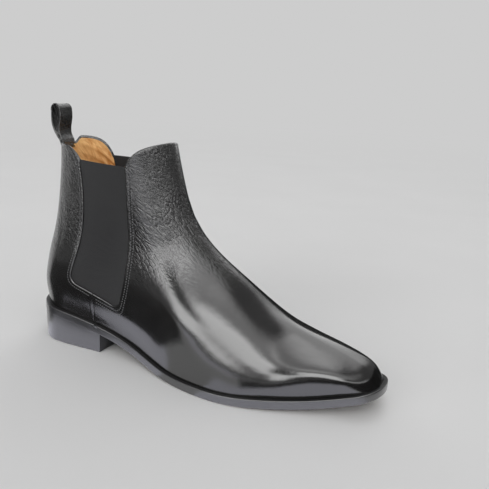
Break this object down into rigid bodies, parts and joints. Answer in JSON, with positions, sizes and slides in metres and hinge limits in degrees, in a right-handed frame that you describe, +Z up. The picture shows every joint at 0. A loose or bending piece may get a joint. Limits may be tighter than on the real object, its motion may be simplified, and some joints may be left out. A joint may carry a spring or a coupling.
{
  "type": "chelsea boot",
  "caption": "Ankle boot with a plain one-piece vamp, elastic side gores, tan lining, a low stacked heel and a pull tab; the shaft springs open at the back.",
  "frame": {"origin": "middle of the heel's flat base on the ground", "axes": "+X towards the toe, +Y towards the inner side of the foot, +Z up"},
  "size_m": [0.3062, 0.1045, 0.1984],
  "materials": {
    "black_leather": "semi-gloss, fine grain",
    "tan_lining": "matte, soft",
    "elastic": "matte ribbed elastic",
    "sole_leather": "satin dyed edge",
    "heel_leather": "satin dyed stack",
    "heel_rubber": "matte",
    "nail_brass": "bright",
    "shank_steel": "plain",
    "cork": "cork granules",
    "insole_board": "plain",
    "stiffener": "plain",
    "interlining_cloth": "woven cotton"
  },
  "bodies": {
    "boot": {"outsole": "sole_leather", "welt": "sole_leather", "heel_rand": "sole_leather", "heel_lift_1": "heel_leather", "heel_lift_2": "heel_leather", "heel_lift_3": "heel_leather", "top_piece": "heel_rubber", "heel_nails": "nail_brass", "shank": "shank_steel", "bottom_filler": "cork", "insole": "insole_board", "sock_liner": "tan_lining", "vamp": "black_leather", "vamp_interlining": "interlining_cloth", "toe_puff": "stiffener", "vamp_lining": "tan_lining", "quarter_lateral_lower": "black_leather", "quarter_medial_lower": "black_leather", "heel_counter": "stiffener", "quarter_lining_lower": "tan_lining", "gore_lateral": "elastic", "gore_medial": "elastic", "back_strip_lower": "black_leather"},
    "back_shaft": {"quarter_lateral_upper": "black_leather", "quarter_medial_upper": "black_leather", "quarter_interlining": "interlining_cloth", "quarter_lining_upper": "tan_lining", "back_strip_upper": "black_leather", "pull_tab_anchor": "black_leather"},
    "pull_tab": {"pull_tab": "black_leather"}
  },
  "joints": [
    {"name": "shaft_opening", "type": "hinge", "parent": "boot", "child": "back_shaft", "pos_m": [-0.036, 0, 0.0752], "axis": [0, -1, 0], "range_deg": [0, 12], "stiffness_Nm_per_rad": 17, "deforming": ["gore_lateral", "gore_medial"]},
    {"name": "pull_tab_fold", "type": "hinge", "parent": "back_shaft", "child": "pull_tab", "pos_m": [-0.0209, 0, 0.169], "axis": [0, -1, 0], "range_deg": [-45, 68]}
  ]
}
